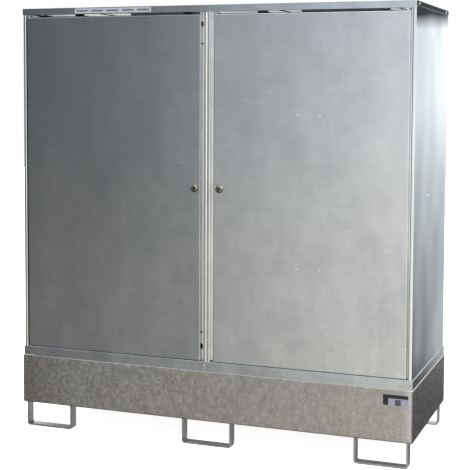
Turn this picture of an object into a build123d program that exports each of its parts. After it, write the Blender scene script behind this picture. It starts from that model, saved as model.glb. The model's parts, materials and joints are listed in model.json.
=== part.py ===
# Dangerous goods storage cabinet: two sheet steel bays, each with one hinged door, on a welded sump
# that stands on six bent feet. Lengths in millimetres, X along the front to the right, Y to the back,
# Z up. The origin lies on the floor, under the middle of the whole cabinet.
# The right bay is drawn, and the left bay is its mirror image about the plane X = 0.

import os
from build123d import *

os.makedirs("parts", exist_ok=True)

# Sump and feet
foot_height = 102.0
foot_width = 216.5
foot_bar_depth = 40.0
foot_bar_thickness = 8.0
foot_bend = 14.0
foot_side_inset = 16.0
foot_edge_inset = 5.0
sump_width = 1704.0
sump_depth = 685.0
sump_height = 207.0
sump_sheet = 3.0
sump_bend = 6.0
sump_rim = 23.0
sump_rim_round = 2.5
sump_rim_corner = 4.0
sump_end_round = 2.5
seam_chamfer = 1.0
sump_proud = 5.0

# Base frame on the rim
frame_height = 36.0
frame_sheet = 2.5
frame_side_inset = 2.5
frame_front_inset = 3.0
frame_top_flange = 40.0
frame_foot_flange = 25.0
frame_corner = 4.0
frame_top_round = 3.0
tie_width = 70.0
sill_height = 14.0

# Sheet body
body_height = 1453.5
body_sheet = 1.5
body_side_inset = 7.0
post_face = 14.0
rebate_depth = 18.0
rebate_reach = 40.0
bend_outer = 4.0
bend_inner = 1.0
rear_lip = 25.0
rear_vent = 26.0
fascia_height = 27.0
roof_side_drop = 18.0
rear_drop = 12.0
fascia_lip = 16.0
roof_bend = 2.0

# Doors and their pivots
door_thickness = 15.0
door_free_inset = 28.0
door_hinge_inset = 21.0
door_bottom_gap = 4.5
door_top_gap = 10.0
door_lip = 14.0
pin_radius = 3.0
pin_edge_inset = 6.5
pin_reach = 20.0
pivot_plate = 3.0
pivot_width = 12.0
pivot_leg = 28.0
bearing_height = 18.0
washer_radius = 4.4
slot_edge_inset = 26.0
slot_length = 22.0
slot_width = 6.5
slot_top_inset = 38.0
slot_bottom_inset = 58.0
spare_hole_inset = 117.0
spare_hole_radius = 3.2

# Door stiffener and rivets
stiffener_length = 650.0
stiffener_width = 114.0
stiffener_crown = 62.0
stiffener_depth = 11.0
rivet_pitch_x = 92.0
rivet_pitch_z = 608.0
rivet_radius = 3.6
rivet_rise = 1.4

# Lock
lock_edge_inset = 26.0
lock_above_middle = 3.5
lock_dome_radius = 17.0
lock_dome_rise = 9.0
lock_barrel_radius = 11.0
lock_core_radius = 7.0
lock_core_recess = 2.0
lock_rim_flat = 2.2
lock_nut_flats = 28.0
lock_nut_height = 5.0
lock_shank = 8.0
key_slot_length = 9.0
key_slot_width = 2.0
key_slot_depth = 2.5
cam_width = 14.0
cam_length = 34.0
cam_sheet = 3.0
cam_screw_radius = 5.5
cam_screw_head = 3.0

# Inside
grating_height = 30.0
grating_bar = 3.0
grating_cross_height = 10.0
grating_pitch_x = 34.0
grating_pitch_y = 100.0
ledge_leg = 50.0
ledge_sheet = 4.0
shelf_depth = 420.0
shelf_flange = 30.0
shelf_back_gap = 28.0
support_leg = 30.0
support_sheet = 2.0
support_margin = 40.0
support_rivet_front = 290.0
support_rivet_pitch = 306.0
support_heights = (1037.0, 1310.5)
roof_hat_inset = 167.0
roof_hat_crown = 46.0
roof_hat_flange = 15.0
roof_hat_depth = 20.0
roof_hat_front = 200.0
cleat_leg = 25.0
cleat_length = 60.0
cleat_inset = 60.0

# Small pieces
label_length = 350.0
label_height = 20.5
label_sheet = 0.8
label_left_inset = 250.0
label_drop = 3.5
roof_screw_radius = 4.0
roof_screw_rise = 2.0
roof_screw_drop = 10.0
roof_screw_inset = 53.0
frame_bolt_flats = 13.0
frame_bolt_height = 5.5
frame_bolt_inset = 12.0
buffer_radius = 5.0
buffer_door_inset = 85.0
rest_width = 14.0
rest_depth = 11.0
rest_chamfer = 2.0

# Clearances
running = 0.05
seat = 0.3
sheet_gap = 0.5
lift_gap = 3.0
overrun = 5.0

# Heights worked out from the sizes above
sump_top = foot_height + sump_height
frame_top = sump_top + frame_height
roof_top = frame_top + body_height
wall_top = roof_top - body_sheet
fascia_bottom = roof_top - fascia_height
door_bottom = frame_top + door_bottom_gap
door_top = fascia_bottom - door_top_gap
door_height = door_top - door_bottom
door_mid = (door_bottom + door_top) / 2
grating_base = sump_top - grating_height

# Depths: the door faces lie at front, and the whole cabinet is centred on Y = 0
overall_depth = lock_dome_rise + sump_depth - sump_proud
front = lock_dome_rise - overall_depth / 2
back = overall_depth / 2
middle = (front + back) / 2
wall_back = back - body_sheet
sump_front = front - sump_proud
sump_middle = (sump_front + back) / 2
frame_front = sump_front + frame_front_inset
frame_back = back
frame_middle = (frame_front + frame_back) / 2
frame_inner_front = frame_front + frame_top_flange
frame_inner_back = frame_back - frame_top_flange

# Widths of the right bay
body_half = sump_width / 2 - body_side_inset
frame_half = sump_width / 2 - frame_side_inset
bay_mid = body_half / 2
door_left = door_free_inset
door_right = body_half - door_hinge_inset
door_width = door_right - door_left
pin_x = door_right - pin_edge_inset
bearing_depth = door_thickness - body_sheet - bend_outer
pin_y = front + bend_outer + bearing_depth / 2
lock_x = door_left + lock_edge_inset
lock_z = door_mid + lock_above_middle
hinge_post_x = body_half - post_face


def front_plane(y):
    """Plane at depth y that faces the front: its x runs along X and its y runs up Z."""
    return Plane.XZ.offset(-y)


def side_plane(x):
    """Plane at x that faces right: its x runs along Y and its y runs up Z."""
    return Plane.YZ.offset(x)


def save(piece, name):
    """Labels a finished piece and writes it as one file."""
    piece.label = name
    export_step(piece, f"parts/{name}.step")


def save_pair(piece, name):
    """Writes a piece of the right bay, and its mirror image for the left bay."""
    save(piece, f"right_{name}")
    save(mirror(piece, about=Plane.YZ), f"left_{name}")


def make_sump():
    """Trough folded from one plate: front wall, floor and back wall, up to the underside of the rim."""
    half_length = sump_width / 2 - sump_sheet
    wall_end = sump_top - sump_sheet
    with BuildPart() as sump:
        with BuildSketch(side_plane(-half_length)):
            with BuildLine():
                FilletPolyline(
                    (sump_front, wall_end), (sump_front, foot_height), (back, foot_height), (back, wall_end),
                    radius=sump_bend,
                )
                offset(amount=sump_sheet, side=Side.LEFT)
            make_face()
        extrude(amount=2 * half_length)
        upright = sump.edges().filter_by(Axis.Z).group_by(Axis.Y)
        chamfer(upright[0] + upright[-1], seam_chamfer)
    return sump.part


def make_sump_ends():
    """Two end plates welded on the trough, ground round at their upright edges."""
    wall_end = sump_top - sump_sheet
    with BuildPart() as ends:
        with BuildSketch(side_plane(sump_width / 2 - sump_sheet)):
            with BuildLine():
                FilletPolyline(
                    (sump_front, wall_end), (sump_front, foot_height), (back, foot_height), (back, wall_end),
                    radius=sump_bend, close=False,
                )
                Line((back, wall_end), (sump_front, wall_end))
            make_face()
        extrude(amount=sump_sheet)
        fillet(ends.faces().sort_by(Axis.X)[-1].edges().filter_by(Axis.Z), sump_end_round)
        mirror(about=Plane.YZ)
    return ends.part


def make_sump_rim():
    """Flat rim welded on the tray's walls, turned inwards, on which the base frame stands."""
    with BuildPart() as rim:
        with BuildSketch(Plane.XY.offset(sump_top)):
            with Locations((0, sump_middle)):
                RectangleRounded(sump_width, sump_depth, sump_rim_corner)
                Rectangle(sump_width - 2 * sump_rim, sump_depth - 2 * sump_rim, mode=Mode.SUBTRACT)
        extrude(amount=-sump_sheet)
        fillet(rim.faces().sort_by(Axis.Z)[-1].outer_wire().edges(), sump_rim_round)
    return rim.part


def make_foot(x, y_front):
    """Flat bar bent to a loop, welded to the sump floor by its two ends."""
    half = foot_width / 2
    with BuildPart() as foot:
        with BuildSketch(front_plane(y_front)):
            with BuildLine():
                FilletPolyline(
                    (x - half, foot_height), (x - half, 0), (x + half, 0), (x + half, foot_height),
                    radius=foot_bend,
                )
                offset(amount=foot_bar_thickness, side=Side.LEFT)
            make_face()
        extrude(amount=-foot_bar_depth)
    return foot.part


def make_frame():
    """Base frame: a folded rail of C section, open to the inside, that runs round the rim."""
    width = 2 * frame_half
    depth = frame_back - frame_front
    bands = (
        (sump_top, frame_sheet, frame_foot_flange),
        (sump_top, frame_height, frame_sheet),
        (frame_top - frame_sheet, frame_sheet, frame_top_flange),
    )
    with BuildPart() as frame:
        for base, height, band in bands:
            with BuildSketch(Plane.XY.offset(base)):
                with Locations((0, frame_middle)):
                    RectangleRounded(width, depth, frame_corner)
                    Rectangle(width - 2 * band, depth - 2 * band, mode=Mode.SUBTRACT)
            extrude(amount=height)
        fillet(frame.faces().sort_by(Axis.Z)[-1].outer_wire().edges(), frame_top_round)
    return frame.part


def make_tie():
    """Channel under the two centre walls, from the front rail to the back rail."""
    half = tie_width / 2
    with BuildPart() as tie:
        with BuildSketch(front_plane(frame_inner_front)):
            with BuildLine():
                FilletPolyline(
                    (half, sump_top + frame_sheet), (half, frame_top), (-half, frame_top),
                    (-half, sump_top + frame_sheet), radius=bend_outer + frame_sheet,
                )
                offset(amount=frame_sheet, side=Side.LEFT)
            make_face()
        extrude(amount=frame_inner_front - frame_inner_back)
    return tie.part


def make_ledges():
    """Two angles on the front and back walls of the sump, which carry the gratings."""
    leg_top = grating_base
    inner_front = sump_front + sump_sheet
    half_length = sump_width / 2 - sump_sheet - sump_bend
    with BuildPart() as ledges:
        with BuildSketch(side_plane(0)):
            with BuildLine():
                Polyline(
                    (inner_front, leg_top),
                    (inner_front + ledge_leg, leg_top),
                    (inner_front + ledge_leg, leg_top - ledge_sheet),
                    (inner_front + ledge_sheet, leg_top - ledge_sheet),
                    (inner_front + ledge_sheet, leg_top - ledge_leg),
                    (inner_front, leg_top - ledge_leg),
                    close=True,
                )
            make_face()
        extrude(amount=half_length, both=True)
        mirror(about=Plane.XZ.offset(-sump_middle))
    return ledges.part


def make_grating():
    """Grating of the right bay: bearing bars from front to back, with shallow cross bars at the top."""
    left = tie_width / 2 + lift_gap
    right = frame_half - frame_top_flange - lift_gap
    near = frame_inner_front + lift_gap
    far = frame_inner_back - lift_gap
    width = right - left
    depth = far - near
    columns = int((width - grating_bar) // grating_pitch_x)
    rows = int((depth - grating_bar) // grating_pitch_y)
    cell_x = (width - grating_bar) / columns
    cell_y = (depth - grating_bar) / rows
    centre = ((left + right) / 2, (near + far) / 2)
    lower = grating_height - grating_cross_height
    with BuildPart() as grating:
        with BuildSketch(Plane.XY.offset(grating_base)):
            with Locations(centre):
                Rectangle(width, depth)
                with GridLocations(cell_x, depth, columns, 1):
                    Rectangle(cell_x - grating_bar, depth - 2 * grating_bar, mode=Mode.SUBTRACT)
        extrude(amount=lower)
        with BuildSketch(Plane.XY.offset(grating_base + lower)):
            with Locations(centre):
                Rectangle(width, depth)
                with GridLocations(cell_x, cell_y, columns, rows):
                    Rectangle(cell_x - grating_bar, cell_y - grating_bar, mode=Mode.SUBTRACT)
        extrude(amount=grating_cross_height)
    return grating.part


def make_centre_wall():
    """Centre wall of the right bay, folded at the front to a post and a door rebate."""
    with BuildPart() as wall:
        with BuildSketch(Plane.XY.offset(frame_top)):
            with BuildLine():
                FilletPolyline(
                    (rear_lip, wall_back),
                    (0, wall_back),
                    (0, front),
                    (post_face, front),
                    (post_face, front + rebate_depth),
                    (rebate_reach, front + rebate_depth),
                    radius=[bend_outer, bend_outer, bend_outer, bend_inner],
                )
                offset(amount=body_sheet, side=Side.LEFT)
            make_face()
        extrude(amount=wall_top - frame_top)
        with BuildSketch(front_plane(front + rebate_depth - overrun)):
            with Locations((slot_edge_inset, door_bottom + slot_bottom_inset),
                           (slot_edge_inset, door_top - slot_top_inset)):
                SlotOverall(slot_length, slot_width, rotation=90)
            with Locations((slot_edge_inset, door_bottom + spare_hole_inset),
                           (slot_edge_inset, door_top - spare_hole_inset)):
                Circle(spare_hole_radius)
        extrude(amount=-(body_sheet + 2 * overrun), mode=Mode.SUBTRACT)
    return wall.part


def make_rear_wall():
    """Back wall of the right bay, inside the rear lips, short of the roof so that air can pass."""
    left = bend_outer + sheet_gap
    right = body_half - bend_outer - sheet_gap
    with BuildPart() as rear_wall:
        with BuildSketch(front_plane(wall_back - 2 * body_sheet)):
            with Locations(((left + right) / 2, (frame_top + roof_top - rear_vent) / 2)):
                Rectangle(right - left, roof_top - rear_vent - frame_top)
        extrude(amount=-body_sheet)
    return rear_wall.part


def make_roof():
    """Roof tray of the right bay: a deep flange at the front, shorter ones at the side and the back."""
    right = body_half + body_sheet
    near = front - body_sheet
    with BuildPart() as roof:
        with BuildSketch(Plane.XY.offset(fascia_bottom)):
            with Locations((right / 2, middle - body_sheet / 2)):
                Rectangle(right, back - near)
        extrude(amount=fascia_height)
        outer_corners = roof.edges().filter_by(Axis.Z).sort_by(Axis.X)[-2:]
        fillet(outer_corners, roof_bend)
        with BuildSketch(Plane.XY.offset(fascia_bottom)):
            with Locations(((body_half - overrun) / 2, (front + wall_back) / 2)):
                Rectangle(body_half + overrun, wall_back - front)
        extrude(amount=wall_top - fascia_bottom, mode=Mode.SUBTRACT)
        with BuildSketch(Plane.XY.offset(fascia_bottom)):
            with Locations(((body_half - overrun) / 2, back)):
                Rectangle(body_half + overrun, 2 * overrun)
        extrude(amount=fascia_height - rear_drop, mode=Mode.SUBTRACT)
        with BuildSketch(Plane.XY.offset(fascia_bottom)):
            with Locations((body_half, (front + back) / 2 + roof_bend)):
                Rectangle(2 * overrun, back - front)
        extrude(amount=fascia_height - roof_side_drop, mode=Mode.SUBTRACT)
        with BuildSketch(Plane.XY.offset(fascia_bottom)):
            with Locations((bay_mid, near + fascia_lip / 2)):
                Rectangle(hinge_post_x - post_face - 2 * sheet_gap, fascia_lip)
        extrude(amount=body_sheet)
    return roof.part


def make_roof_hats():
    """Two hat-shaped stiffeners under the right roof, from front to back."""
    half_crown = roof_hat_crown / 2 - body_sheet
    half_foot = half_crown + roof_hat_flange
    low = wall_top - roof_hat_depth + body_sheet
    with BuildPart() as hats:
        with BuildSketch(front_plane(front + roof_hat_front)):
            for x in (roof_hat_inset, body_half - roof_hat_inset):
                with BuildLine():
                    FilletPolyline(
                        (x - half_foot, wall_top), (x - half_crown, wall_top), (x - half_crown, low),
                        (x + half_crown, low), (x + half_crown, wall_top), (x + half_foot, wall_top),
                        radius=[bend_outer, bend_inner, bend_inner, bend_outer],
                    )
                    offset(amount=body_sheet, side=Side.RIGHT)
                make_face()
        extrude(amount=front + roof_hat_front - wall_back + 2 * body_sheet + lift_gap)
    return hats.part


def make_door():
    """Right door: a tray of sheet, folded back at its edges and in again behind."""
    with BuildPart() as door:
        with BuildSketch(front_plane(front)):
            with Locations(((door_left + door_right) / 2, door_mid)):
                Rectangle(door_width, door_height)
        extrude(amount=-door_thickness)
        fillet(door.faces().sort_by(Axis.Y)[0].edges(), bend_outer)
        with BuildSketch(front_plane(front + body_sheet)):
            with Locations(((door_left + door_right) / 2, door_mid)):
                Rectangle(door_width - 2 * body_sheet, door_height - 2 * body_sheet)
        extrude(amount=2 * body_sheet - door_thickness, mode=Mode.SUBTRACT)
        inner_skin = door.faces().filter_by(Axis.Y).sort_by(Axis.Y)[1]
        fillet(inner_skin.edges(), bend_outer - body_sheet)
        with BuildSketch(front_plane(front + door_thickness + overrun)):
            with Locations(((door_left + door_right) / 2, door_mid)):
                Rectangle(door_width - 2 * door_lip, door_height - 2 * door_lip)
        extrude(amount=body_sheet + 2 * overrun, mode=Mode.SUBTRACT)
        with BuildSketch(Plane.XY.offset(door_bottom - overrun)):
            with Locations((pin_x, pin_y)):
                Circle(pin_radius + running)
        extrude(amount=door_height + 2 * overrun, mode=Mode.SUBTRACT)
        with BuildSketch(front_plane(front - overrun)):
            with Locations((lock_x, lock_z)):
                Circle(lock_barrel_radius + running)
        extrude(amount=-(body_sheet + 2 * overrun), mode=Mode.SUBTRACT)
    return door.part


def make_door_stiffener():
    """Hat section behind the middle of the door skin, riveted at its four corners."""
    x = (door_left + door_right) / 2
    half_crown = stiffener_crown / 2
    half_foot = stiffener_width / 2
    skin = front + body_sheet
    with BuildPart() as stiffener:
        with BuildSketch(Plane.XY.offset(door_mid - stiffener_length / 2)):
            with BuildLine():
                FilletPolyline(
                    (x - half_foot, skin), (x - half_crown, skin), (x - half_crown, skin + stiffener_depth),
                    (x + half_crown, skin + stiffener_depth), (x + half_crown, skin), (x + half_foot, skin),
                    radius=[bend_outer, bend_inner, bend_inner, bend_outer],
                )
                offset(amount=body_sheet, side=Side.LEFT)
            make_face()
        extrude(amount=stiffener_length)
    return stiffener.part


def make_door_rivets():
    """Four low rivet heads on the door skin, at the stiffener's corners."""
    with BuildPart() as rivets:
        with BuildSketch(front_plane(front)):
            with Locations(((door_left + door_right) / 2, door_mid)):
                with GridLocations(rivet_pitch_x, rivet_pitch_z, 2, 2):
                    Circle(rivet_radius)
        extrude(amount=rivet_rise, taper=30)
    return rivets.part


def make_pivot_brackets():
    """Brackets in the hinge corners of the door opening, each with a tab that holds a pin."""
    tab_left = pin_x - pin_radius - pivot_plate
    levels = ((frame_top, frame_top), (fascia_bottom - pivot_plate, fascia_bottom - pivot_leg))
    with BuildPart() as brackets:
        for tab_base, leg_base in levels:
            with BuildSketch(Plane.XY.offset(tab_base)):
                with Locations(((tab_left + hinge_post_x) / 2, pin_y)):
                    Rectangle(hinge_post_x - tab_left, pivot_width)
                with Locations((pin_x, pin_y)):
                    Circle(pin_radius + running, mode=Mode.SUBTRACT)
            extrude(amount=pivot_plate)
            with BuildSketch(Plane.XY.offset(leg_base)):
                with Locations((hinge_post_x - body_sheet / 2, pin_y)):
                    Rectangle(body_sheet, pivot_width)
            extrude(amount=pivot_leg)
    return brackets.part


def make_pivot_pins():
    """Pins from the brackets into the door corners, with chamfered ends."""
    spans = ((frame_top, door_bottom + pin_reach), (door_top - pin_reach, fascia_bottom))
    with BuildPart() as pins:
        for base, tip in spans:
            with BuildSketch(Plane.XY.offset(base)):
                with Locations((pin_x, pin_y)):
                    Circle(pin_radius)
            extrude(amount=tip - base)
        chamfer(pins.edges().filter_by(GeomType.CIRCLE), pin_radius / 6)
    return pins.part


def make_washers():
    """Thrust washers that carry the two doors on their lower brackets."""
    base = frame_top + pivot_plate
    with BuildPart() as washers:
        with BuildSketch(Plane.XY.offset(base)):
            with Locations((pin_x, pin_y)):
                Circle(washer_radius)
                Circle(pin_radius + running, mode=Mode.SUBTRACT)
        extrude(amount=door_bottom - seat - base)
        mirror(about=Plane.YZ)
    return washers.part


def make_bearings():
    """Two bored blocks welded into the door's hinge corners, in which the pins turn."""
    width = 2 * (pin_edge_inset - body_sheet)
    bases = (door_bottom + body_sheet, door_top - body_sheet - bearing_height)
    with BuildPart() as bearings:
        for base in bases:
            with BuildSketch(Plane.XY.offset(base)):
                with Locations((pin_x, pin_y)):
                    Rectangle(width, bearing_depth)
                    Circle(pin_radius + running, mode=Mode.SUBTRACT)
            extrude(amount=bearing_height)
    return bearings.part


def lock_axis():
    return Axis((lock_x, 0, lock_z), (0, 1, 0))


def make_lock_body():
    """Domed escutcheon and barrel in one, bored for the core."""
    bore = lock_core_radius + running
    barrel_back = front + rebate_depth + body_sheet
    with BuildPart() as body:
        with BuildSketch(Plane.XY.offset(lock_z)):
            with BuildLine():
                crest_in = (lock_x + bore, front - lock_dome_rise)
                crest_out = (lock_x + bore + lock_rim_flat, front - lock_dome_rise)
                edge = (lock_x + lock_dome_radius, front)
                Line((lock_x + bore, barrel_back), crest_in)
                Line(crest_in, crest_out)
                RadiusArc(crest_out, edge, -lock_dome_radius / 2 - lock_rim_flat)
                Polyline(
                    edge,
                    (lock_x + lock_barrel_radius, front),
                    (lock_x + lock_barrel_radius, barrel_back),
                    (lock_x + bore, barrel_back),
                )
            make_face()
        revolve(axis=lock_axis())
    return body.part


def make_lock_nut():
    """Hexagon nut that clamps the barrel behind the door skin."""
    with BuildPart() as nut:
        with BuildSketch(front_plane(front + body_sheet)):
            with Locations((lock_x, lock_z)):
                RegularPolygon(lock_nut_flats / 2, 6, major_radius=False)
                Circle(lock_barrel_radius + running, mode=Mode.SUBTRACT)
        extrude(amount=-lock_nut_height)
    return nut.part


def make_lock_core():
    """Turning core with a key slot in front and a square shank behind for the cam."""
    face = front - lock_dome_rise + lock_core_recess
    cam_front = front + rebate_depth + body_sheet + seat
    with BuildPart() as core:
        with BuildSketch(front_plane(face)):
            with Locations((lock_x, lock_z)):
                Circle(lock_core_radius)
        extrude(amount=face - cam_front)
        with BuildSketch(front_plane(cam_front)):
            with Locations((lock_x, lock_z)):
                Rectangle(lock_shank, lock_shank)
        extrude(amount=-cam_sheet)
        with BuildSketch(front_plane(face)):
            with Locations((lock_x, lock_z)):
                Rectangle(key_slot_width, key_slot_length)
        extrude(amount=-key_slot_depth, mode=Mode.SUBTRACT)
    return core.part


def make_lock_cam():
    """Cam on the square shank, drawn upright as it stands when the lock is open."""
    cam_front = front + rebate_depth + body_sheet + seat
    with BuildPart() as cam:
        with BuildSketch(front_plane(cam_front)):
            with Locations((lock_x, lock_z + (cam_length - cam_width / 2) / 2)):
                SlotOverall(cam_length + cam_width / 2, cam_width, rotation=90)
            with Locations((lock_x, lock_z)):
                Rectangle(lock_shank, lock_shank, mode=Mode.SUBTRACT)
        extrude(amount=-cam_sheet)
    return cam.part


def make_cam_screw():
    """Screw head that holds the cam on the shank."""
    cam_back = front + rebate_depth + body_sheet + seat + cam_sheet
    with BuildPart() as screw:
        with BuildSketch(front_plane(cam_back)):
            with Locations((lock_x, lock_z)):
                Circle(cam_screw_radius)
        extrude(amount=-cam_screw_head)
        chamfer(screw.faces().sort_by(Axis.Y)[-1].edges(), cam_screw_head / 4)
    return screw.part


def make_buffers():
    """Rubber pads on the middle rebates, two for the free edge of each door."""
    x = (door_left + rebate_reach) / 2
    with BuildPart() as buffers:
        with BuildSketch(front_plane(front + rebate_depth)):
            with Locations((x, door_bottom + buffer_door_inset), (x, door_top - buffer_door_inset)):
                Circle(buffer_radius)
        extrude(amount=rebate_depth - door_thickness - seat)
        mirror(about=Plane.YZ)
    return buffers.part


def make_supports():
    """Shelf supports of the right bay: folded angles along both walls, at two heights."""
    wall_face = body_sheet
    near = front + support_rivet_front - support_margin
    far = front + support_rivet_front + support_rivet_pitch + support_margin
    with BuildPart() as supports:
        for height in support_heights:
            top = height + support_leg / 2
            with BuildSketch(front_plane(near)):
                with BuildLine():
                    FilletPolyline(
                        (wall_face, top - support_leg), (wall_face, top), (wall_face + support_leg, top),
                        radius=bend_outer + support_sheet,
                    )
                    offset(amount=support_sheet, side=Side.RIGHT)
                make_face()
            extrude(amount=near - far)
        mirror(about=Plane.YZ.offset(bay_mid))
    return supports.part


def make_support_rivets():
    """Rivet heads of the shelf supports, on the outside of the two side walls."""
    near = front + support_rivet_front
    with BuildPart() as rivets:
        with BuildSketch(side_plane(body_half)):
            for height in support_heights:
                with Locations((near, height), (near + support_rivet_pitch, height)):
                    Circle(rivet_radius)
        extrude(amount=rivet_rise, taper=30)
        mirror(about=Plane.YZ)
    return rivets.part


def make_shelf(height):
    """Shelf tray of the right bay, with folded front and back edges, lying on its supports."""
    left = body_sheet + lift_gap
    right = body_half - body_sheet - lift_gap
    low = height + support_leg / 2
    top = low + body_sheet
    far = back - shelf_back_gap
    near = far - shelf_depth
    with BuildPart() as shelf:
        with BuildSketch(side_plane(left)):
            with BuildLine():
                FilletPolyline(
                    (near, top - shelf_flange), (near, top), (far, top), (far, top - shelf_flange),
                    radius=bend_outer,
                )
                offset(amount=body_sheet, side=Side.RIGHT)
            make_face()
        extrude(amount=right - left)
    return shelf.part


def make_cleats():
    """Eight folded cleats that fix the walls of both bays to the base frame."""
    with BuildPart() as cleats:
        for near in (front + cleat_inset, back - cleat_inset - cleat_length):
            with BuildSketch(front_plane(near)):
                with BuildLine():
                    FilletPolyline(
                        (body_sheet, frame_top + cleat_leg), (body_sheet, frame_top),
                        (body_sheet + cleat_leg, frame_top), radius=bend_outer + support_sheet,
                    )
                    offset(amount=support_sheet, side=Side.LEFT)
                make_face()
            extrude(amount=-cleat_length)
        mirror(about=Plane.YZ.offset(bay_mid))
        mirror(about=Plane.YZ)
    return cleats.part


def make_frame_bolts():
    """Hexagon bolt heads on the lower flange of the base frame, which hold it to the sump rim."""
    x = frame_half - frame_bolt_inset
    y = (frame_back - frame_front) / 2 - frame_bolt_inset
    with BuildPart() as bolts:
        with BuildSketch(Plane.XY.offset(sump_top + frame_sheet)):
            with Locations((0, frame_middle)):
                with GridLocations(x, 2 * y, 3, 2):
                    RegularPolygon(frame_bolt_flats / 2, 6, major_radius=False)
        extrude(amount=frame_bolt_height)
    return bolts.part


def make_roof_screws():
    """Screw heads in the side flanges of the roofs."""
    x = body_half + body_sheet
    z = roof_top - roof_screw_drop
    with BuildPart() as screws:
        with BuildSketch(side_plane(x)):
            with Locations((front + roof_screw_inset, z), (back - roof_screw_inset, z)):
                Circle(roof_screw_radius)
        extrude(amount=roof_screw_rise, taper=20)
        mirror(about=Plane.YZ)
    return screws.part


def make_label_strip():
    """Bare label strip on the fascia of the left bay."""
    x = label_left_inset - body_half - body_sheet + label_length / 2
    z = roof_top - label_drop - label_height / 2
    with BuildPart() as label:
        with BuildSketch(front_plane(front - body_sheet)):
            with Locations((x, z)):
                Rectangle(label_length, label_height)
        extrude(amount=label_sheet)
    return label.part


def make_sills():
    """Sill strips on the rail behind the doors, and the block that takes the right door's free corner."""
    left = rebate_reach + sheet_gap
    right = body_half - rebate_reach - sheet_gap
    x = door_left + rest_width / 2
    with BuildPart() as sills:
        with BuildSketch(Plane.XY.offset(frame_top)):
            with Locations((x, front + rest_depth / 2)):
                Rectangle(rest_width, rest_depth)
        extrude(amount=door_bottom_gap - seat)
        chamfer(sills.faces().sort_by(Axis.Z)[-1].edges().sort_by(Axis.Y)[0], rest_chamfer)
        with BuildSketch(Plane.XY.offset(frame_top)):
            with Locations(((left + right) / 2, front + rebate_depth + body_sheet / 2),
                           (-(left + right) / 2, front + rebate_depth + body_sheet / 2)):
                Rectangle(right - left, body_sheet)
        extrude(amount=sill_height)
    return sills.part


save(make_sump(), "sump")
save(make_sump_ends(), "sump_ends")
save(make_sump_rim(), "sump_rim")
x_foot = sump_width / 2 - foot_side_inset - foot_width / 2
y_rear_foot = back - foot_edge_inset - foot_bar_depth
for row, y_foot in (("front", sump_front + foot_edge_inset), ("rear", y_rear_foot)):
    for place, x in (("left", -x_foot), ("middle", 0), ("right", x_foot)):
        save(make_foot(x, y_foot), f"{row}_{place}_foot")
save(make_ledges(), "grating_ledges")
save(make_frame(), "base_frame")
save(make_tie(), "frame_tie")
save(make_frame_bolts(), "frame_bolts")

centre_wall = make_centre_wall()
save_pair(centre_wall, "centre_wall")
save_pair(mirror(centre_wall, about=Plane.YZ.offset(bay_mid)), "side_wall")
save_pair(make_rear_wall(), "rear_wall")
save_pair(make_roof(), "roof")
save_pair(make_roof_hats(), "roof_stiffeners")
save(make_cleats(), "wall_cleats")

save_pair(make_door(), "door")
save_pair(make_door_stiffener(), "door_stiffener")
save_pair(make_door_rivets(), "door_rivets")
save_pair(make_bearings(), "door_bearings")
save_pair(make_pivot_brackets(), "pivot_brackets")
save_pair(make_pivot_pins(), "pivot_pins")
save(make_washers(), "thrust_washers")
save(make_buffers(), "door_buffers")

save_pair(make_lock_body(), "lock_body")
save_pair(make_lock_nut(), "lock_nut")
save_pair(make_lock_core(), "lock_core")
save_pair(make_lock_cam(), "lock_cam")
save_pair(make_cam_screw(), "cam_screw")

save_pair(make_grating(), "grating")
save_pair(make_supports(), "shelf_supports")
save(make_support_rivets(), "support_rivets")
for level, height in zip(("lower", "upper"), support_heights):
    save_pair(make_shelf(height), f"{level}_shelf")

save(make_roof_screws(), "roof_screws")
save(make_label_strip(), "label_strip")
save(make_sills(), "door_sills")
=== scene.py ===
import json
import math

import bmesh
import bpy
from mathutils import Matrix, Vector


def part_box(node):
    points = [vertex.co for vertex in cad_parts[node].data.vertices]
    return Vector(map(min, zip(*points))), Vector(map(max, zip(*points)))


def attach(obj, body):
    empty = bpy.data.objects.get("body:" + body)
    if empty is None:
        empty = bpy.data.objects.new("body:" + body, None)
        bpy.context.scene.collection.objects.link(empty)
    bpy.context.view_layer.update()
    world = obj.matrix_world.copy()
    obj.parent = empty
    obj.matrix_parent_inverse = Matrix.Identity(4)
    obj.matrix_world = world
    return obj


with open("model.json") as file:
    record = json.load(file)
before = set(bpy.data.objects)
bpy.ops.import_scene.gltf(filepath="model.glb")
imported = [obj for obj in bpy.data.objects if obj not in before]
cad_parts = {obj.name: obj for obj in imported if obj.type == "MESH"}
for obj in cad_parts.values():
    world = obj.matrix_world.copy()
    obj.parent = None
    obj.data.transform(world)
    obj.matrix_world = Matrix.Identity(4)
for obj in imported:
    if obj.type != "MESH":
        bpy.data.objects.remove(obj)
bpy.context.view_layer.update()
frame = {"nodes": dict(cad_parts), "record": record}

# %% [markdown]
# # A dangerous goods storage cabinet in galvanised steel
# The frame holds every rigid piece of the cabinet as the CAD made it: the sump on its six bent feet, the
# base frame, two sheet bays with a roof each, the doors, their pins and locks, the shelves and the gratings.
# This script keeps those shapes and adds what the CAD leaves out: camera, studio, finishes, and the small
# things that a welder and a label printer put on afterwards.
# The cabinet is almost all zinc, and zinc shows mostly what stands round it. So the studio matters as much
# as the materials, and it comes first.

# %% Sizes that the frame gives
mm = 0.001
nodes = frame["nodes"]
sump_low, sump_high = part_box("sump_ends")
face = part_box("left_door")[0].y

# %% [markdown]
# ## Camera
# The photograph was taken from the right of the middle, a little below the roof, with a lens that was
# lowered against the picture so that upright edges stay nearly parallel. In Blender a lowered lens is the
# camera's shift. The numbers below were solved from the straight edges of the sump, the rail and the roof.
# The distances are measured from the floor, straight below the middle of the door faces.

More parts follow.
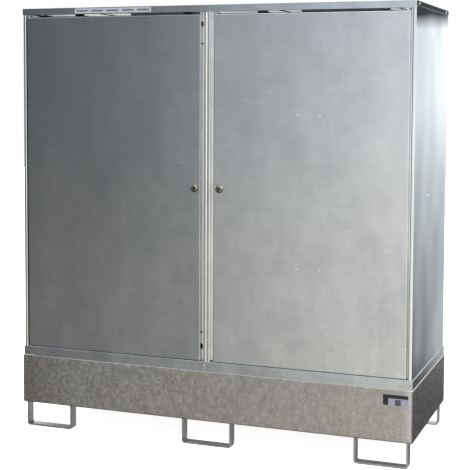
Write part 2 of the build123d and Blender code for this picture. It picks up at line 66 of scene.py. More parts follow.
# %% Camera
photo_side = 470
sensor_width = 36.0
focal_pixels = 1170.8
axis_pixel = (225.9, 160.0)
camera_offset = Vector((1.734, -4.394, 1.468))
camera_turn, camera_dip, camera_roll = 20.607, 3.547, 0.220

camera_data = bpy.data.cameras.new("camera")
camera_data.sensor_width = sensor_width
camera_data.lens = focal_pixels * sensor_width / photo_side
camera_data.shift_x = (photo_side / 2 - axis_pixel[0]) / photo_side
camera_data.shift_y = (axis_pixel[1] - photo_side / 2) / photo_side
camera = bpy.data.objects.new("camera", camera_data)
bpy.context.scene.collection.objects.link(camera)
bpy.context.scene.camera = camera
camera.location = camera_offset + Vector((0, face, 0))
camera.rotation_euler = (
    Matrix.Rotation(math.radians(camera_turn), 3, "Z")
    @ Matrix.Rotation(math.radians(90 - camera_dip), 3, "X")
    @ Matrix.Rotation(math.radians(camera_roll), 3, "Z")
).to_euler()
bpy.context.scene.view_settings.view_transform = "Standard"
shift = round(camera_data.shift_x, 4), round(camera_data.shift_y, 4)
print("lens", round(camera_data.lens, 2), "mm, shift", *shift)

# %% [markdown]
# ## Helpers for nodes and colours
# Every material below is built from nodes. One function adds a node, sets it and links it, so that a
# finish reads as a short list, and four short ones on top of it blend, calculate, map a range and make a
# ramp. Colours are written as sRGB hex values, as a paint chart gives them, and one function turns them
# to the linear values that a shader works with.

# %% Helpers for nodes and colours
def linear(code):
    """sRGB hex value to linear RGBA."""
    values = [int(code[i:i + 2], 16) / 255 for i in (0, 2, 4)]
    return [v / 12.92 if v <= 0.04045 else ((v + 0.055) / 1.055) ** 2.4 for v in values] + [1.0]


def grey(value):
    return (value, value, value, 1.0)


def add(tree, kind, inputs=None, stops=None, **settings):
    """Adds one node with its settings, input values or links and, on a ramp, its stops."""
    node = tree.nodes.new(kind)
    for key, value in settings.items():
        setattr(node, key, value)
    for key, value in (inputs or {}).items():
        if isinstance(value, bpy.types.NodeSocket):
            tree.links.new(value, node.inputs[key])
        else:
            node.inputs[key].default_value = value
    if stops:
        elements = node.color_ramp.elements
        while len(elements) < len(stops):
            elements.new(0.5)
        for element, (place, colour) in zip(elements, stops):
            element.position = place
            element.color = colour
    return node


def blend(tree, share, first, second, mode="MIX"):
    """Colour blend of two colours by a share, each a value or a link."""
    colours = {0: share, 6: first, 7: second}
    return add(tree, "ShaderNodeMix", colours, data_type="RGBA", blend_type=mode).outputs[2]


def calc(tree, operation, *values):
    """Result of a math node on values or links."""
    return add(tree, "ShaderNodeMath", dict(enumerate(values)), operation=operation).outputs[0]


def spread(tree, value, low=0.0, high=1.0, first=0.0, last=1.0, kind="LINEAR"):
    """Value mapped from the range low to high onto the range first to last."""
    limits = {0: value, 1: low, 2: high, 3: first, 4: last}
    return add(tree, "ShaderNodeMapRange", limits, interpolation_type=kind).outputs[0]


def ramp(tree, value, *stops):
    """Colour ramp over a value; a stop is (place, colour)."""
    return add(tree, "ShaderNodeValToRGB", {0: value}, stops=stops).outputs[0]


# %% [markdown]
# ## Studio
# The cabinet stands before a white sweep, so the camera sees white all round. What the sheet mirrors isn't
# in the photograph, so its light was fitted to the grey levels there: a dim left side, a bright opening
# in front to the right, and a lit wall behind that falls off towards the floor. A world whose light
# depends on the direction does the same as a ring of softboxes and flags, without hard edges. The heading
# is 0 straight in front of the doors and grows to the right, the height is measured from the horizon, and
# both are in degrees. The few places that are given sideways run from -1 at the far left to 1 at the far
# right.
# In front, the light over the headings is multiplied by a tint over the heights. Behind, one column of
# light stands where the right side wall and the sump's end mirror it, and an even one fills the rest, so
# that the back of the cabinet is lit too. The lit floor adds a little light from below and the ceiling
# lamps add more from above, whatever the heading. They hardly touch the upright sheets, but every bend
# that faces up or down picks them up.

# %% Light round the studio
heading_light = (
    (-180, 1.00), (-150, 0.95), (-110, 0.70), (-84, 0.50), (-62, 0.10), (-42, 0.10), (-32, 0.17),
    (-22, 0.46), (-12, 1.02), (-2, 1.55), (25, 1.45), (60, 1.00), (95, 0.85), (130, 1.10), (180, 1.00),
)
front_height_light = (
    (-90, "8A867C"), (-35, "B0ACA0"), (-16, "F2EEDF"), (-11, "FCFAF2"), (-7, "F4F4EE"), (-2, "FFFFFF"),
    (3, "ECF0F6"), (20, "DCE6F4"), (90, "D0DCEC"),
)
side_wall_light = (
    (-90, 0.45), (-28, 0.55), (-21, 0.42), (-17.5, 0.10), (-13.9, 0.10), (-13.0, 0.46), (-11, 0.54),
    (-8, 0.54), (-4.5, 0.84), (-1, 1.24), (3.0, 1.40), (3.45, 0.10), (7, 0.12), (10, 0.9), (16, 1.2),
    (90, 1.2),
)
side_wall_share = ((-0.10, 0.0), (0.02, 1.0), (0.46, 1.0), (0.62, 0.0))
back_fill_light = (
    (-90, 0.45), (-30, 0.60), (-12, 0.75), (-4.5, 0.84), (-1, 1.24), (3, 1.40), (10, 1.0), (90, 1.2),
)
steady_light = (
    (-90, 0.02), (-30, 0.05), (-14, 0.07), (-6, 0.03), (0, 0.0), (20, 0.0), (34, 0.9), (50, 1.3), (90, 1.3),
)
brightest = 1.6
behind_from, behind_to = -0.25, 0.35

# %% [markdown]
# ## Dark things behind the cabinet
# Two upright ones on the left are seen through the rear vents, mirrored in the underside of the roofs: they
# make the black line above the right half of each door. They stand only at the height of the vents. A
# softer one on the right darkens the side wall beside its front fold, most of all low down. All three are
# made up to match the photograph, and the match holds for its camera only.

# %% Dark things behind the cabinet
left_dark_share = (
    (-1.0, 1.0), (-0.455, 1.0), (-0.435, 0.04), (-0.374, 0.04), (-0.364, 1.1), (-0.336, 1.1),
    (-0.312, 0.04), (-0.12, 0.04), (0.04, 1.0), (1.0, 1.0),
)
vent_height_share = ((-12, 0.0), (-8, 1.0), (0, 1.0), (4, 0.0))
right_dark_share = (
    (-90, 0.38), (-11.5, 0.42), (-9.3, 0.66), (-7.9, 0.76), (-4.5, 0.72), (-1, 0.80), (3, 0.7), (90, 0.7),
)
right_dark_edge, right_dark_full = 0.171, 0.194
right_dark_end, right_dark_fading = 0.45, 0.32

# %% [markdown]
# ## Studio world
# The direction of a ray gives a heading, a height and a place from left to right, each as a share from 0 to
# 1 that a ramp can read. The tables above become such ramps, and they are multiplied, blended from front to
# back and added up. A camera ray skips all of it and sees plain white.

# %% Studio world
world = bpy.data.worlds.new("studio")
bpy.context.scene.world = world
world.use_nodes = True
tree = world.node_tree
tree.nodes.clear()
direction = add(tree, "ShaderNodeTexCoord").outputs["Generated"]
axes = add(tree, "ShaderNodeSeparateXYZ", {0: direction})
to_right, to_back, upwards = (axes.outputs[axis] for axis in "XYZ")
heading = calc(tree, "ARCTAN2", to_right, calc(tree, "MULTIPLY", to_back, -1.0))
height = calc(tree, "ARCSINE", upwards)
heading_share = spread(tree, heading, -math.pi, math.pi)
height_share = spread(tree, height, -math.pi / 2, math.pi / 2)
across_share = spread(tree, to_right, -1.0, 1.0)


def column(stops, top=brightest):
    """Ramp over the height, with grey levels as a share of the top or with hex colours."""
    colours = [linear(value) if isinstance(value, str) else grey(value / top) for _, value in stops]
    return ramp(tree, height_share, *(((stop[0] + 90) / 180, c) for stop, c in zip(stops, colours)))


def row(stops):
    """Ramp of shares from the far left to the far right."""
    return ramp(tree, across_share, *(((place + 1) / 2, grey(share)) for place, share in stops))


def both(first, second):
    return blend(tree, 1.0, first, second, "MULTIPLY")


around = ramp(
    tree, heading_share, *(((angle + 180) / 360, grey(light / brightest)) for angle, light in heading_light)
)
in_front = both(around, column(front_height_light))
back_wall = blend(tree, row(side_wall_share), column(back_fill_light), column(side_wall_light))
left_dark = blend(tree, column(vent_height_share, 1.0), grey(1.0), row(left_dark_share))
right_start = spread(tree, to_right, right_dark_edge, right_dark_full, kind="SMOOTHSTEP")
right_stop = spread(tree, to_right, right_dark_end, right_dark_fading)
on_right = calc(tree, "MULTIPLY", right_start, right_stop)
right_dark = blend(tree, on_right, grey(1.0), column(right_dark_share, 1.0))
in_back = both(both(back_wall, left_dark), right_dark)
behind = spread(tree, to_back, behind_from, behind_to, kind="SMOOTHSTEP")
lit = blend(tree, behind, in_front, in_back)
glow = blend(tree, 1.0, lit, column(steady_light), "ADD")
reflected = add(tree, "ShaderNodeBackground", {"Color": glow, "Strength": brightest})
white = add(tree, "ShaderNodeBackground", {"Color": grey(1.0), "Strength": 1.0})
seen = add(tree, "ShaderNodeLightPath").outputs["Is Camera Ray"]
surface = add(tree, "ShaderNodeMixShader", {0: seen, 1: reflected.outputs[0], 2: white.outputs[0]})
add(tree, "ShaderNodeOutputWorld", {"Surface": surface.outputs[0]})
print("studio light with", len(heading_light), "headings and", len(side_wall_light), "heights behind")

# %% [markdown]
# ## Floor
# A matt white floor, lit so brightly that only a soft shadow under the sump is left. It takes no part in
# the reflections, because the real doors show the dim hall and not the paper they stand on.

# %% Floor
floor_half = 14.0
paper_fibre = 400 * mm
paper_roughness, paper_glow = 0.9, 0.8
floor_mesh = bpy.data.meshes.new("floor")
bm = bmesh.new()
bmesh.ops.create_grid(bm, x_segments=1, y_segments=1, size=floor_half)
bm.to_mesh(floor_mesh)
bm.free()
floor = bpy.data.objects.new("floor", floor_mesh)
bpy.context.scene.collection.objects.link(floor)
floor.visible_glossy = False
paper = bpy.data.materials.new("matt white studio paper")
paper.use_nodes = True
tree = paper.node_tree
shader = tree.nodes["Principled BSDF"]
place = add(tree, "ShaderNodeTexCoord").outputs["Object"]
fibres = add(tree, "ShaderNodeTexNoise", {"Vector": place, "Scale": 1 / paper_fibre, "Detail": 3.0})
shade = ramp(tree, fibres.outputs[0], (0.3, linear("F6F6F4")), (0.7, linear("FBFBFA")))
tree.links.new(shade, shader.inputs["Base Color"])
shader.inputs["Roughness"].default_value = paper_roughness
shader.inputs["Emission Color"].default_value = grey(1.0)
shader.inputs["Emission Strength"].default_value = paper_glow
floor_mesh.materials.append(paper)

# %% [markdown]
# ## Softboxes
# Two area lights stand where a photographer would put them, high on the right and lower on the left. They
# put small crisp lights on the lock domes, the rivets and the bends, which the even world can't do. Each
# has a name, a place, the length of its side in metres and its power in watts.

# %% Softboxes
softboxes = (
    ("right_softbox", Vector((3.4, -2.6, 3.2)), 1.2, 40.0),
    ("left_softbox", Vector((-4.2, -1.4, 2.6)), 1.0, 10.0),
)
aim = Vector((0, 0, 1.0))
for name, place, side, power in softboxes:
    light = bpy.data.lights.new(name, "AREA")
    light.size = side
    light.energy = power
    lamp = bpy.data.objects.new(name, light)
    lamp.location = place
    lamp.rotation_euler = (aim - place).to_track_quat("-Z", "Y").to_euler()
    bpy.context.scene.collection.objects.link(lamp)
print(len(softboxes), "softboxes")

# %% [markdown]
# ## Helpers for finishes
# Each finish starts from a new material with object coordinates, so that its pattern has its real size and
# stays on the piece when it moves. Noise is asked for by the size of its features. A patch of painted light
# is a second colour, standing for a highlight, a reflection or shade, whose share falls smoothly to nothing
# along one axis or more.

# %% Helpers for finishes
def base_material(name):
    """New material, with its tree, shader and object coordinates."""
    material = bpy.data.materials.new(name)
    material.use_nodes = True
    tree = material.node_tree
    place = add(tree, "ShaderNodeTexCoord").outputs["Object"]
    return material, tree, tree.nodes["Principled BSDF"], place


def noise(tree, place, size, detail=2.0, rough=0.5):
    """Noise whose features are as large as size, one length or three."""
    if not isinstance(size, (int, float)):
        place = add(tree, "ShaderNodeMapping", {"Vector": place, "Scale": [1 / s for s in size]}).outputs[0]
        size = 1.0
    settings = {"Vector": place, "Scale": 1 / size, "Detail": detail, "Roughness": rough}
    return add(tree, "ShaderNodeTexNoise", settings).outputs[0]


def value_mix(tree, share, first, second):
    return add(tree, "ShaderNodeMix", {0: share, 2: first, 3: second}).outputs[0]


def within(tree, place, share, *limits):
    """Share that falls smoothly to nothing along axes; a limit is (axis, where all, where nothing)."""
    for axis, whole, none in limits:
        coordinate = add(tree, "ShaderNodeSeparateXYZ", {0: place}).outputs[axis]
        fade = spread(tree, coordinate, whole, none, 1.0, 0.0, "SMOOTHSTEP")
        share = calc(tree, "MULTIPLY", fade, share)
    return share


def with_painted_light(tree, place, colour, painted_light_patches):
    """Colour with patches of painted light over it; a patch is (hex, share, limits...)."""
    for code, share, *limits in painted_light_patches:
        colour = blend(tree, within(tree, place, share, *limits), colour, linear(code))
    return colour


# %% [markdown]
# ## Galvanised sheet
# The doors, walls and roofs are thin sheet, coated with zinc in the coil and rolled smooth. What gives it
# away is a cloudy tone at the scale of a hand, a faint grain along the rolling direction, a few short drag
# marks, and flat panels that are never quite flat. A photograph of sheet could be wrapped round the doors,
# but it would repeat and turn soft close up. Noise that is stretched along the rolling direction gives all
# of it at the real scale.
# The grain is 0.2 mm fine on real sheet. Here it is drawn about 4 mm tall, so that it shows in a picture
# where one pixel covers 4 mm.
# Faces that look down or sideways are nearly mirrors, to match the photograph: the tone of the side wall
# follows what it mirrors, and the underside of the roofs mirrors what lies behind the rear vents, which is
# what shows above the doors. Whether the real sheet is that smooth there isn't known.

# %% Galvanised sheet
grain_length, grain_gap, grain_depth = 160 * mm, 4 * mm, 0.4 * mm
cloud_size, wipe_size = 95 * mm, (60 * mm, 60 * mm, 240 * mm)
drag_length, drag_gap, drag_patch = 70 * mm, 3.4 * mm, 210 * mm
swell_size, swell_depth = 520 * mm, 4 * mm
wipe_share, grain_share = 0.4, 0.22
skin_from, skin_roughness = 0.93, 0.02


def sheet_finish(name, dark, light, upright=False, roughness=0.24, wave=1.0, painted_light_patches=()):
    """Zinc coated sheet, with the grain lying or upright."""
    material, tree, shader, place = base_material(name)

    def rolled(length, gap):
        return (gap, gap, length) if upright else (length, gap, gap)

    lines = noise(tree, place, rolled(grain_length, grain_gap))
    clouds = noise(tree, place, cloud_size, 5.0, 0.62)
    wiped = noise(tree, place, wipe_size, 3.0, 0.6)
    cloudy = value_mix(tree, wipe_share, clouds, wiped)
    skin = value_mix(tree, grain_share, cloudy, lines)
    tone = ramp(tree, skin, (0.30, linear(dark)), (0.70, linear(light)))
    drags = noise(tree, place, rolled(drag_length, drag_gap), 0.0)
    dashes = ramp(tree, drags, (0.80, grey(0)), (0.88, grey(0.5)))
    patches = ramp(tree, noise(tree, place, drag_patch, 0.0), (0.50, grey(0)), (0.62, grey(1)))
    marked = blend(tree, 1.0, dashes, patches, "MULTIPLY")
    colour = with_painted_light(tree, place, blend(tree, marked, tone, linear("F0F2F3")), painted_light_patches)
    tree.links.new(colour, shader.inputs["Base Color"])

    gloss = spread(tree, skin, 0.3, 0.7, roughness * 1.2, roughness * 0.85)
    facing = add(tree, "ShaderNodeSeparateXYZ", {0: add(tree, "ShaderNodeTexCoord").outputs["Normal"]})
    sideways = calc(tree, "ABSOLUTE", facing.outputs["X"])
    below = calc(tree, "MULTIPLY", facing.outputs["Z"], -1.0)
    bright = calc(tree, "GREATER_THAN", calc(tree, "MAXIMUM", sideways, below), skin_from)
    tree.links.new(value_mix(tree, bright, gloss, skin_roughness), shader.inputs["Roughness"])
    shader.inputs["Metallic"].default_value = 1.0

    waves = {"Height": noise(tree, place, swell_size, 1.0), "Strength": wave, "Distance": swell_depth}
    swell = add(tree, "ShaderNodeBump", waves).outputs[0]
    grain = {"Height": lines, "Strength": 0.05, "Distance": grain_depth, "Normal": swell}
    tree.links.new(add(tree, "ShaderNodeBump", grain).outputs[0], shader.inputs["Normal"])
    return material


# %% [markdown]
# ## Kinds of sheet
# Walls, roofs, rail and shelves differ in tone, gloss and flatness. The dark and the light value are the
# two ends of the cloudy tone. The walls are bent from sheet that was rolled upright.

# %% Kinds of sheet
finishes = {
    "wall_sheet": sheet_finish(
        "satin galvanised wall sheet", "C6C8C6", "DEE0DE", upright=True, roughness=0.2
    ),
    "roof_sheet": sheet_finish(
        "satin galvanised roof sheet", "A8AEB2", "C8CED2", roughness=0.1, wave=0.1
    ),
    "frame_sheet": sheet_finish(
        "folded galvanised rail sheet", "A0A6AC", "C8CED4", roughness=0.14, wave=0.4
    ),
    "shelf_sheet": sheet_finish("galvanised shelf sheet", "B0B4B8", "CCD0D4", roughness=0.30),
}
print(len(finishes), "kinds of sheet")

# %% [markdown]
# ## Hot-dip galvanised plate
# The sump is welded first and then dipped whole in molten zinc. The coat freezes in large crystals, runs
# down while it cools, and dulls to a warm grey with pale specks. A cell pattern stands for the crystals, a
# soft noise for the cloudy mottling, and a second noise that is stretched upwards for the runs. Each
# crystal also gets its own gloss, because that is what makes the pattern show from some sides only. The
# paler right edge of the sump's plate is a painted highlight and its darker left end is painted shade, both
# fitted to the photograph.

# %% Hot-dip galvanised plate
mottle_size, run_size, speck_size = 34 * mm, (14 * mm, 14 * mm, 40 * mm), 9 * mm
run_share, crystal_share = 0.45, 0.16
skin_relief, skin_depth = 0.35, 1.0 * mm


def dipped_finish(name, dark, middle, light, crystal=10 * mm, roughness=0.44, painted_light_patches=()):
    """Zinc coat from a dip bath, with crystals, mottling, runs, pale specks and patches of painted light."""
    material, tree, shader, place = base_material(name)
    cells = add(tree, "ShaderNodeTexVoronoi", {"Vector": place, "Scale": 1 / crystal})
    facet = add(tree, "ShaderNodeSeparateColor", {0: cells.outputs["Color"]}).outputs[0]
    mottle = noise(tree, place, mottle_size, 4.0, 0.6)
    clouded = value_mix(tree, run_share, mottle, noise(tree, place, run_size))
    skin = value_mix(tree, crystal_share, clouded, facet)
    tone = ramp(tree, skin, (0.30, linear(dark)), (0.50, linear(middle)), (0.70, linear(light)))
    specks = ramp(tree, noise(tree, place, speck_size, 0.0), (0.70, grey(0)), (0.80, grey(0.6)))
    colour = with_painted_light(tree, place, blend(tree, specks, tone, linear("DAD8D2")), painted_light_patches)
    tree.links.new(colour, shader.inputs["Base Color"])
    gloss = spread(tree, facet, first=roughness - 0.07, last=roughness + 0.08)
    tree.links.new(gloss, shader.inputs["Roughness"])
    shader.inputs["Metallic"].default_value = 1.0
    relief = {"Height": skin, "Strength": skin_relief, "Distance": skin_depth}
    tree.links.new(add(tree, "ShaderNodeBump", relief).outputs[0], shader.inputs["Normal"])
    return material


finishes["sump_plate"] = dipped_finish(
    "hot-dip galvanised sump plate", "9E9B98", "AFACAA", "C2C0BE", roughness=0.36,
    painted_light_patches=(
        # painted highlight along the right end, painted shade over the left end
        ("DCDCE6", 0.6, ("X", sump_high.x, sump_high.x - 50 * mm)),
        ("807C78", 0.5, ("X", sump_low.x, sump_low.x + 260 * mm)),
    ),
)
finishes["foot_bar"] = dipped_finish(
    "hot-dip galvanised flat bar", "888A8E", "A4A6AA", "C0C2C6", crystal=7 * mm, roughness=0.34
)
finishes["grating_bars"] = dipped_finish(
    "hot-dip galvanised grating bars", "9A9A98", "B2B2B0", "CCCCCA", crystal=5 * mm
)
print(len(finishes), "kinds of sheet and dipped plate")

# %% [markdown]
# ## Small metal
# The brackets and screws are zinc plated, which is brighter and bluer than dipped zinc. The pins are bright
# turned steel with rings from the lathe. The lock domes are nickel plated and polished, the only mirror on
# the cabinet. One function serves them all: a metal colour, a gloss, and fine marks of the size and
# direction that the tool left.

# %% Small metal
mark_depth = 0.2 * mm


def plated_finish(name, dark, light, roughness, mark, relief=0.1):
    """Plated or bare metal with tool marks of one size, or stretched to three sizes."""
    material, tree, shader, place = base_material(name)
    marks = noise(tree, place, mark, 3.0)
    colour = ramp(tree, marks, (0.36, linear(dark)), (0.64, linear(light)))
    tree.links.new(colour, shader.inputs["Base Color"])
    gloss = spread(tree, marks, first=roughness * 1.3, last=roughness * 0.75)
    tree.links.new(gloss, shader.inputs["Roughness"])
    shader.inputs["Metallic"].default_value = 1.0
    tooled = {"Height": marks, "Strength": relief, "Distance": mark_depth}
    tree.links.new(add(tree, "ShaderNodeBump", tooled).outputs[0], shader.inputs["Normal"])
    return material


lathe_marks = (5 * mm, 5 * mm, 0.6 * mm)
finishes["bracket_steel"] = plated_finish("zinc plated bracket steel", "B2B6BC", "D2D5DA", 0.32, 3 * mm)
finishes["pin_steel"] = plated_finish("bright turned steel", "C0C2C4", "DCDDDE", 0.18, lathe_marks)
finishes["lock_zinc"] = plated_finish("polished nickel plate", "74746A", "94948A", 0.06, 4 * mm, 0.03)
finishes["core_zinc"] = plated_finish("satin nickel plate", "4C4C46", "686862", 0.14, 1 * mm)
finishes["rivet_metal"] = plated_finish("plain aluminium rivet", "EAEAEA", "F8F8F8", 0.6, 1.5 * mm)
finishes["screw_metal"] = plated_finish("bright zinc plated screw", "C6C9CC", "E0E2E4", 0.22, 1 * mm)

# %% [markdown]
# ## Rubber, film and ink
# The rubber buffers and the label are the only things that aren't metal. Rubber is nearly black and matt
# with a fine moulded grain; the film is a smooth plastic with a faint orange-peel, and its printed fields
# are the same film with another colour.

# %% Rubber, film and ink
press_depth = 0.15 * mm
film_grain, film_roughness, film_coat = 2 * mm, 0.38, 0.2


def plain_finish(name, dark, light, roughness=film_roughness, grain=film_grain, relief=0.1, coat=0.0):
    """Rubber, plastic film or ink: a colour, a grain of one size and an optional clear coat."""
    material, tree, shader, place = base_material(name)
    skin = noise(tree, place, grain, 3.0)
    colour = ramp(tree, skin, (0.35, linear(dark)), (0.65, linear(light)))
    tree.links.new(colour, shader.inputs["Base Color"])
    shader.inputs["Roughness"].default_value = roughness
    shader.inputs["Coat Weight"].default_value = coat
    pressed = {"Height": skin, "Strength": relief, "Distance": press_depth}
    tree.links.new(add(tree, "ShaderNodeBump", pressed).outputs[0], shader.inputs["Normal"])
    return material


finishes["buffer_rubber"] = plain_finish("black moulded rubber", "1A1A1A", "262626", 0.75, 0.8 * mm, 0.4)
finishes["label_film"] = plain_finish("bare light grey label film", "8A8A90", "949498", coat=film_coat)
violet_ink = plain_finish("grey-violet printed film", "7C7C86", "86868E", coat=film_coat)
bar_ink = plain_finish("mid grey printed film", "4C4C58", "565662")
dark_ink = plain_finish("dark grey printed film", "32323A", "3C3C44")
print(len(finishes), "finishes for", len(nodes), "nodes")

# %% [markdown]
# ## Finishes on the CAD nodes
# The imported record says which material slot each node takes, so the finishes go on by slot. A few nodes
# have a finish of their own, with a tone or a painted patch that was fitted to the photograph where the
# studio alone didn't match it. These tones and patches are painted light: they stand in for what the
# sheet mirrors. One photograph can't tell whether the real pieces differ like this or only mirror
# different things.
# The left door and its rivets are painted darker as a dim reflection, and the door has painted shade high
# up and away from the lock. The right door has a painted highlight high up towards its hinge. The right
# side wall is smoother, with a painted bluish reflection outside and a painted dark brown reflection low
# down beside its front fold. The left centre wall is painted whitish as painted light, with painted shade
# on its front. The right roof is painted a little brighter than the left one as a painted reflection, the
# roof stiffeners are painted pale as painted light, and the sump's end plates are painted dark as painted
# shade.

# %% Finishes on the nodes
behind_fold = ("Y", face + 5 * mm, face + 4 * mm)
outer_face = ("X", 844.5 * mm, 843.5 * mm)
# how far back from the front fold the painted dark reflection on the side wall reaches
dark_reflection_reach = ("Y", face + 4 * mm, face + 300 * mm)
front_fold = ("Y", face + 3 * mm, face + 4 * mm)
left_of_seam = ("X", -7 * mm, -5 * mm)
slot_of = {part["node"]: part["material_slot"] for part in frame["record"]["subparts"]}
# pale tone of the roof stiffeners is painted light, seen through the vent gap
painted_light_stiffener = sheet_finish(
    "galvanised stiffener sheet with painted light", "DADAD6", "F0F0EC", roughness=0.4, wave=0.1
)
painted_light_finish = {
    # darker tone is a painted dim reflection; the patch high up away from the lock is painted shade
    "left_door": sheet_finish(
        "galvanised door sheet with painted dim reflection", "9A9EA2", "BBBEC1",
        painted_light_patches=(("707478", 0.25, ("Z", 1.2, 0.5), ("X", -300 * mm, -60 * mm)),),
    ),
    # darker tone is a painted dim reflection, like the left door's
    "left_door_rivets": sheet_finish("galvanised rivet with painted dim reflection", "A0A4A8", "B6B9BC"),
    # lighter tone is a painted bright reflection; the pale patch high up towards the hinge is a painted
    # highlight
    "right_door": sheet_finish(
        "galvanised right door sheet with painted highlight", "B9BCBF", "D3D6D9",
        painted_light_patches=(("F6F6F4", 0.2, ("X", 780 * mm, 560 * mm), ("Z", 1.0, 0.75)),),
    ),
    # bluish outer face is a painted reflection; the brown patch low down beside the front fold is a painted
    # dark reflection
    "right_side_wall": sheet_finish(
        "hazed galvanised right wall sheet", "D2D6D8", "E4E8EA", upright=True, roughness=0.08,
        painted_light_patches=(
            ("B4CCDA", 0.6, behind_fold, outer_face),
            ("6E6660", 0.45, behind_fold, dark_reflection_reach, ("Z", 0.45, 1.0)),
        ),
    ),
    # whitish tone is painted light; the darker front face left of the seam is painted shade
    "left_centre_wall": sheet_finish(
        "galvanised centre wall with painted light and shade", "E2E2DE", "F6F6F2", upright=True, roughness=0.45,
        painted_light_patches=(("9EA09E", 0.8, front_fold, left_of_seam),),
    ),
    # brighter tone than the left roof is a painted reflection
    "right_roof": sheet_finish(
        "bright galvanised right roof sheet", "B6BCC0", "D6DCE0", roughness=0.1, wave=0.1
    ),
    "left_roof_stiffeners": painted_light_stiffener,
    "right_roof_stiffeners": painted_light_stiffener,
    # dark tone of the end plates is painted shade
    "sump_ends": dipped_finish(
        "hot-dip galvanised end plate with painted shade", "64625E", "787671", "8E8C88", roughness=0.26
    ),
}
for name, node in nodes.items():
    node.data.materials.clear()
    node.data.materials.append(painted_light_finish.get(name) or finishes[slot_of[name]])
print("nodes with a finish of their own:", sorted(painted_light_finish))

# %% [markdown]
# ## New pieces
# What the script adds is fixed to the cabinet's own body, so it stays there when a door or a grating moves.

# %% New pieces
def place_piece(bm, name, material, smooth=True):
    """Turns a bmesh to a piece that rides on the cabinet, with its finish and slot."""
    bmesh.ops.recalc_face_normals(bm, faces=bm.faces)
    mesh = bpy.data.meshes.new(name)
    bm.to_mesh(mesh)
    bm.free()
    if smooth:
        mesh.shade_smooth()
    piece = bpy.data.objects.new(name, mesh)
    bpy.context.scene.collection.objects.link(piece)
    mesh.materials.append(material)
    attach(piece, "cabinet")
    print(name, len(mesh.polygons), "faces")


# %% [markdown]
# ## Weld beads
# A real sump isn't one smooth block: its end plates are welded on, each foot is welded to the floor, and
# the rail is stitched to the rim. A bead is a row of small overlapping puddles. It could be a bump on the
# surface, but then its outline stays straight, so it is modelled: one ring is dragged along the seam in
# short steps by the spin operator with no turn, and every second ring is drawn in a little.

# %% Weld beads
ripple = 2.4 * mm
bead_sides = 8
drawn_in, end_size = 0.8, 0.45


def beads(name, seams, radius, material):
    """One piece with a rippled bead along each of its straight seams."""
    bm = bmesh.new()
    for start, end in seams:
        run = end - start
        steps = max(4, 2 * round(run.length / ripple / 2))
        turn = run.to_track_quat("Z", "Y").to_matrix().to_4x4()
        before = set(bm.verts)
        stand = Matrix.Translation(start) @ turn
        ring = bmesh.ops.create_circle(bm, segments=bead_sides, radius=radius, matrix=stand)
        rim = list({edge for vert in ring["verts"] for edge in vert.link_edges})
        bmesh.ops.spin(bm, geom=rim, cent=start, axis=run, dvec=run / steps, angle=0.0, steps=steps)
        for vert in bm.verts:
            if vert not in before:
                along = (vert.co - start).dot(run) / run.length_squared
                step = round(along * steps)
                centre = start + run * along
                share = end_size if step in (0, steps) else (drawn_in if step % 2 else 1.0)
                vert.co = centre + (vert.co - centre) * share
    bmesh.ops.holes_fill(bm, edges=[edge for edge in bm.edges if edge.is_boundary], sides=0)
    place_piece(bm, name, material)


# %% [markdown]
# ## Seams
# The beads go where the real seams lie: up the four corners of the sump, across both ends of each bent
# foot, in a short stitch under the left end of the rail, and up the joint in the middle of the rail, which
# was ground and is brighter than the rest.

# %% Seams
fresh_zinc = plated_finish("bright zinc on ground welds", "C0BEC0", "E4E2E4", 0.3, 5 * mm, 0.4)
inset, corner_below, corner_above = 2.2 * mm, 8 * mm, 2 * mm
corner_seams = [
    (Vector((x, y, sump_low.z + corner_below)), Vector((x, y, sump_high.z - corner_above)))
    for x in (sump_low.x + inset, sump_high.x - inset) for y in (sump_low.y + inset, sump_high.y - inset)
]
beads("sump_corner_welds", corner_seams, 1.7 * mm, finishes["sump_plate"])

bar_thickness, bar_edge = 8 * mm, 3 * mm
foot_seams = []
for name in sorted(n for n in nodes if n.endswith("_foot")):
    low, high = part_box(name)
    for x in (low.x, low.x + bar_thickness, high.x - bar_thickness, high.x):
        foot_seams.append((Vector((x, low.y + bar_edge, high.z)), Vector((x, high.y - bar_edge, high.z))))
beads("foot_welds", foot_seams, 2.2 * mm, finishes["foot_bar"])

rail_low, rail_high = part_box("base_frame")
seam_x, seam_end = -8.7 * mm, 4 * mm
stitch_length, stitch_inset, stitch_sunk = 50 * mm, 3 * mm, 0.5 * mm
stitch_start = Vector((sump_low.x + stitch_inset, rail_low.y - stitch_sunk, sump_high.z + stitch_inset))
stitch_seams = [
    (stitch_start, stitch_start + Vector((stitch_length, 0, 0))),
    (
        Vector((seam_x, rail_low.y, rail_low.z + seam_end)),
        Vector((seam_x, rail_low.y, rail_high.z - seam_end)),
    ),
]
beads("rail_stitch_welds", stitch_seams, 2.4 * mm, fresh_zinc)

# %% [markdown]
# ## Lip on the rail
# The top of the rail ends in a low upturned lip in front of the doors, which hides the gap under them and
# catches the ceiling lamps along its rounded edge. Its outline is half of the cross section of a rounded
# bar: a quarter turn of one corner point by the spin operator gives the round, and one long extrusion gives
# the bar. The doors clear it by half a millimetre when they swing.

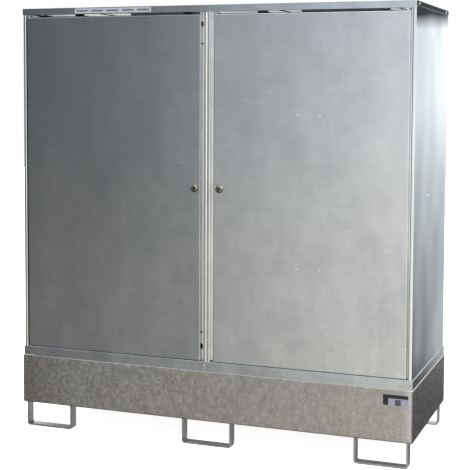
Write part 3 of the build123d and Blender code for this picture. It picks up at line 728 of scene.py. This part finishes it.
# %% Lip on the rail
lip_height, lip_thickness, lip_round = 4.0 * mm, 1.8 * mm, 1.5 * mm
lip_end, lip_root, round_steps = 2 * mm, 1 * mm, 6
lip_base = rail_high.z - lip_root
bm = bmesh.new()
corner = bm.verts.new((rail_low.x + lip_end, rail_low.y, rail_high.z + lip_height - lip_round))
pivot = corner.co + Vector((0, lip_round, 0))
quarter = -math.pi / 2
turned = bmesh.ops.spin(bm, geom=[corner], cent=pivot, axis=(1, 0, 0), angle=quarter, steps=round_steps)
crest = turned["geom_last"][0]
foot_in = bm.verts.new((corner.co.x, rail_low.y, lip_base))
crest_out = bm.verts.new((corner.co.x, rail_low.y + lip_thickness, crest.co.z))
foot_out = bm.verts.new((corner.co.x, rail_low.y + lip_thickness, lip_base))
for pair in ((crest, crest_out), (crest_out, foot_out), (foot_out, foot_in), (foot_in, corner)):
    bm.edges.new(pair)
section = bmesh.ops.contextual_create(bm, geom=list(bm.edges))["faces"]
pulled = bmesh.ops.extrude_face_region(bm, geom=section)
ends = [item for item in pulled["geom"] if isinstance(item, bmesh.types.BMVert)]
bmesh.ops.translate(bm, verts=ends, vec=(rail_high.x - rail_low.x - 2 * lip_end, 0, 0))
place_piece(bm, "rail_lip", finishes["frame_sheet"], smooth=False)

# %% [markdown]
# ## Label fields
# The strip on the fascia is one film with five printed fields, each with a darker bar. The fields could
# be drawn in the material by their coordinates, but as pieces they keep sharp edges at any distance: four
# corners, one face, extruded by the thickness of the ink.

# %% Label fields
def panels(name, rectangles, y, thickness, material):
    """Thin upright panels that face the front, each given as (left, right, low, high)."""
    bm = bmesh.new()
    for left, right, low, high in rectangles:
        outline = ((left, low), (right, low), (right, high), (left, high))
        corners = [bm.verts.new((x, y, z)) for x, z in outline]
        skin = bmesh.ops.extrude_face_region(bm, geom=[bm.faces.new(corners)])
        moved = [item for item in skin["geom"] if isinstance(item, bmesh.types.BMVert)]
        bmesh.ops.translate(bm, verts=moved, vec=(0, -thickness, 0))
    place_piece(bm, name, material, smooth=False)


strip_low, strip_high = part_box("label_strip")
ink = 0.1 * mm
field_count = 5
field_pitch = (strip_high.x - strip_low.x) / field_count
field_border, bar_border = Vector((4 * mm, 4 * mm)), Vector((9 * mm, 7 * mm))
fields, bars = [], []
for i in range(field_count):
    left, right = strip_low.x + i * field_pitch, strip_low.x + (i + 1) * field_pitch
    for border, out in ((field_border, fields), (bar_border, bars)):
        out.append((left + border.x, right - border.x, strip_low.z + border.y, strip_high.z - border.y))
panels("label_fields", fields, strip_low.y, ink, violet_ink)
panels("label_bars", bars, strip_low.y - ink, ink, bar_ink)

# %% [markdown]
# ## Plate on the sump
# A small plate sits at the right end of the sump's front: thin and light, with a dark header, a dark
# margin and a grey square.

# %% Plate on the sump
left, right, low, high = 736 * mm, 835 * mm, 247 * mm, 288 * mm
plate_sheet = 0.5 * mm
header, margin = 14 * mm, 21 * mm
square_inset, square_side = 26 * mm, 23 * mm
plate_grain, plate_roughness = 3 * mm, 0.5
plate_film = plain_finish("light grey plate film", "72707A", "7C7A84", plate_roughness, plate_grain)
black_ink = plain_finish("near black printed film", "0C0C0D", "141415", plate_roughness, plate_grain)
plate_face = sump_low.y - plate_sheet
square_left = left + margin + square_inset
dark_fields = [(left, right, high - header, high), (left, left + margin, low, high - header)]
square = (square_left, square_left + square_side, low, low + square_side)
panels("sump_plate_base", [(left, right, low, high)], sump_low.y, plate_sheet, plate_film)
panels("sump_plate_dark_fields", dark_fields, plate_face, ink, black_ink)
panels("sump_plate_square", [square], plate_face, ink, dark_ink)
